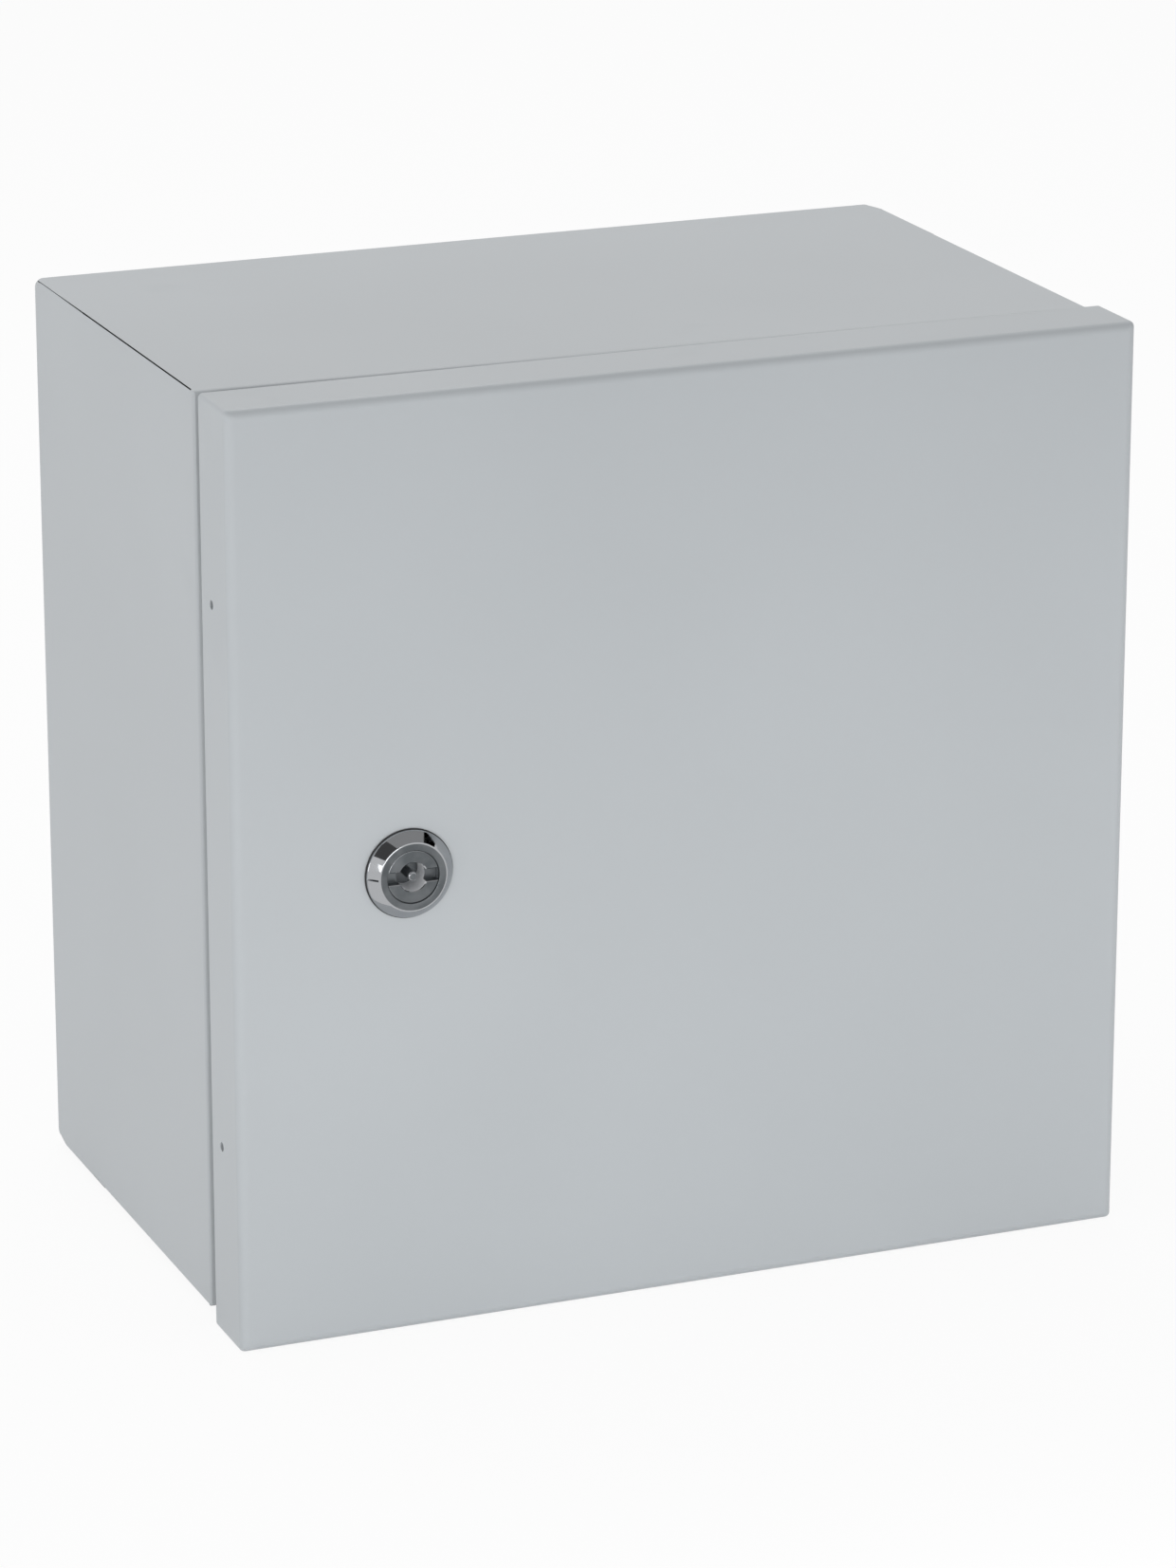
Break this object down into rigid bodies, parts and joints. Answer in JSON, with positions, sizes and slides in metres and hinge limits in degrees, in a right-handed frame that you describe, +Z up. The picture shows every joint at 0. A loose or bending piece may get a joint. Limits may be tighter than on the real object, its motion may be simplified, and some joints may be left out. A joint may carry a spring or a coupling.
{
  "type": "wall enclosure",
  "caption": "Square sheet-steel wall enclosure with a folded hinged door, a quarter-turn double-bit lock, a mounting plate and a bottom gland plate.",
  "frame": {"origin": "centre of the back face, on the wall", "axes": "+X to the right seen from the front, +Y into the wall, +Z up"},
  "size_m": [0.3055, 0.2046, 0.304],
  "materials": {
    "grey_powder_coat": "smooth light-grey powder coat, satin",
    "foam_seal": "matte foamed polyurethane",
    "black_rubber": "matte",
    "chromed_zinc": "bright chrome on die-cast zinc",
    "satin_zinc": "satin nickel on die-cast zinc",
    "cast_zinc": "tumbled die-cast zinc",
    "galvanised_sheet": "hot-dip galvanised, fine spangle",
    "plated_steel": "bright zinc plated"
  },
  "bodies": {
    "body": {"body_shell": "grey_powder_coat", "upper_body_leaf": "cast_zinc", "lower_body_leaf": "cast_zinc", "leaf_screws": "plated_steel", "leaf_nuts": "plated_steel", "mounting_plate": "galvanised_sheet", "plate_studs": "plated_steel", "plate_washers": "plated_steel", "plate_nuts": "plated_steel", "gland_plate": "grey_powder_coat", "gland_seal": "foam_seal", "gland_studs": "plated_steel", "gland_nuts": "plated_steel", "body_earth_stud": "plated_steel", "body_earth_nut": "plated_steel"},
    "door": {"door": "grey_powder_coat", "door_gasket": "foam_seal", "upper_door_leaf": "cast_zinc", "lower_door_leaf": "cast_zinc", "upper_hinge_pin": "plated_steel", "lower_hinge_pin": "plated_steel", "leaf_rivets": "grey_powder_coat", "lock_housing": "chromed_zinc", "lock_seal_ring": "black_rubber", "lock_nut": "plated_steel", "door_earth_stud": "plated_steel", "door_earth_nut": "plated_steel"},
    "lock": {"lock_insert": "satin_zinc", "lock_cam": "plated_steel", "cam_washer": "plated_steel", "cam_screw": "plated_steel"}
  },
  "joints": [
    {"name": "door_hinge", "type": "hinge", "parent": "body", "child": "door", "pos_m": [0.1425, -0.186, 0], "axis": [0, 0, 1], "range_deg": [0, 120]},
    {"name": "lock_turn", "type": "hinge", "parent": "door", "child": "lock", "pos_m": [-0.095, -0.19, 0], "axis": [0, 1, 0], "range_deg": [0, 90]}
  ]
}
